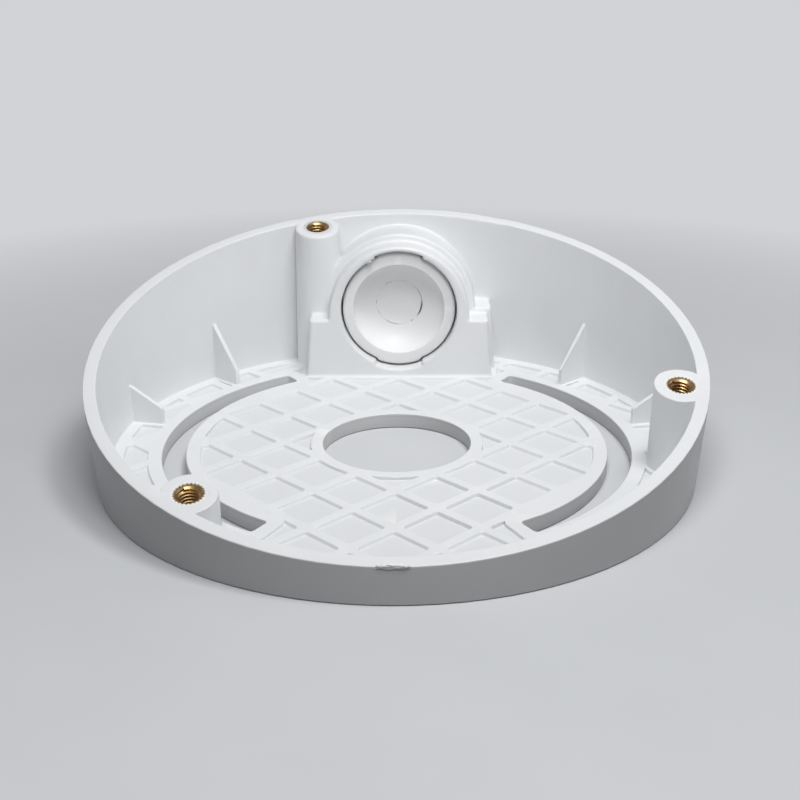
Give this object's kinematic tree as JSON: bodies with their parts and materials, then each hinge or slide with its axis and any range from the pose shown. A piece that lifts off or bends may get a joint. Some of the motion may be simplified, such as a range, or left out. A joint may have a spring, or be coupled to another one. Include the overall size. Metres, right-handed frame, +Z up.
{
  "type": "camera mount base",
  "caption": "Round tilted base for a dome camera: waffle floor with cable hole and curved screw slots, brass insert bosses, and a side conduit entry closed by a plug.",
  "frame": {"origin": "centre of the flat underside, which is the middle of the round body", "axes": "+Z up out of the underside, -Y towards the low side of the tilted seat, +Y towards the conduit entry in the high wall"},
  "size_m": [0.1214, 0.1188, 0.0383],
  "materials": {
    "shell_plastic": "satin white moulding",
    "plug_plastic": "satin white moulding, slightly greyer",
    "insert_brass": "machined and knurled"
  },
  "bodies": {
    "root": {"base_shell": "shell_plastic", "conduit_plug": "plug_plastic", "insert_left": "insert_brass", "insert_right": "insert_brass", "insert_back": "insert_brass"}
  },
  "joints": []
}
